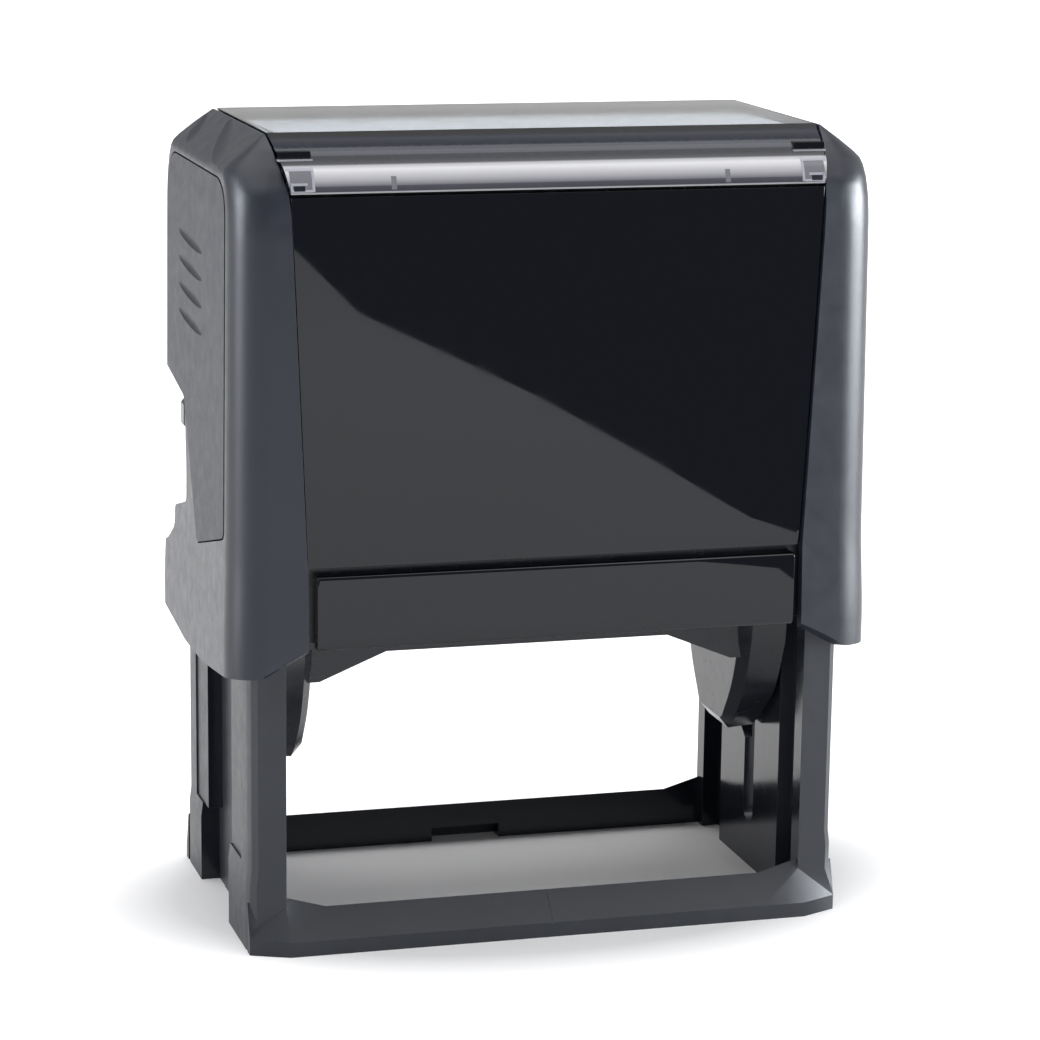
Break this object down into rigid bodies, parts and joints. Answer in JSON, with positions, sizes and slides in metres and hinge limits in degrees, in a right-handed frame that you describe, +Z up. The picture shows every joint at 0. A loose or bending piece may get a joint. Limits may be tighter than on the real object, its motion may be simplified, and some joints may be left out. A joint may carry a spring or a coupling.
{
  "type": "self-inking stamp",
  "caption": "Self-inking stamp: a sprung housing slides down a slotted base frame and flips an upward-facing die from its ink pad to the paper.",
  "frame": {"origin": "centre of the bottom of the base, on the surface the stamp stands on", "axes": "+Z up, opposite to the press; +X along the width, towards the right when seen from the front; +Y towards the rear, the side with the cartridge opening"},
  "size_m": [0.103, 0.06, 0.126],
  "materials": {
    "base_plastic": "fine satin-textured dark grey moulded plastic",
    "inner_plastic": "smooth dark grey moulded plastic",
    "shell_plastic": "satin fine-textured grey moulded plastic",
    "grip_plastic": "matt grey soft-touch plastic",
    "gloss_plastic": "high-gloss black",
    "clear_plastic": "clear polished plastic",
    "label_card": "blank pale card",
    "ink_felt": "ink-soaked felt",
    "spring_steel": "plain drawn steel",
    "die_foam": "soft foam",
    "die_rubber": "laser-cut rubber"
  },
  "bodies": {
    "base": {"base_frame": "base_plastic", "spring_bridge": "inner_plastic", "cartridge_tray": "inner_plastic", "ink_pad": "ink_felt", "left_return_spring": "spring_steel", "right_return_spring": "spring_steel"},
    "housing": {"housing_core": "inner_plastic", "left_shell": "shell_plastic", "right_shell": "shell_plastic", "left_grip": "grip_plastic", "right_grip": "grip_plastic", "front_panel": "gloss_plastic", "rear_panel": "gloss_plastic", "front_band": "gloss_plastic", "rear_band": "gloss_plastic", "left_carrier_arm": "inner_plastic", "right_carrier_arm": "inner_plastic", "label_card": "label_card"},
    "die_carrier": {"carrier_frame": "inner_plastic", "left_axle_pin": "spring_steel", "right_axle_pin": "spring_steel", "left_cam_pin": "spring_steel", "right_cam_pin": "spring_steel", "die_cushion": "die_foam", "text_plate": "die_rubber"},
    "index_window": {"index_window": "clear_plastic"},
    "left_lock": {"left_lock_button": "inner_plastic"},
    "right_lock": {"right_lock_button": "inner_plastic"}
  },
  "joints": [
    {"name": "housing_press", "type": "slide", "parent": "base", "child": "housing", "axis": [0, 0, -1], "range_m": [0, 0.0347], "stiffness_N_per_m": 800, "springref_m": -0.012, "deforming": ["left_return_spring", "right_return_spring"]},
    {"name": "carrier_flip", "type": "hinge", "parent": "housing", "child": "die_carrier", "pos_m": [0, 0, 0.0445], "axis": [1, 0, 0], "range_deg": [0, 180]},
    {"name": "index_window_lift", "type": "slide", "parent": "housing", "child": "index_window", "axis": [0, 0, 1], "range_m": [0, 0.02]},
    {"name": "left_lock_press", "type": "slide", "parent": "housing", "child": "left_lock", "axis": [1, 0, 0], "range_m": [0, 0.0008], "stiffness_N_per_m": 400, "springref_m": -0.0005},
    {"name": "right_lock_press", "type": "slide", "parent": "housing", "child": "right_lock", "axis": [-1, 0, 0], "range_m": [0, 0.0008], "stiffness_N_per_m": 400, "springref_m": -0.0005}
  ],
  "couplings": [
    {"joint": "carrier_flip", "follows": "housing_press", "rad_per_m": 90.53}
  ]
}
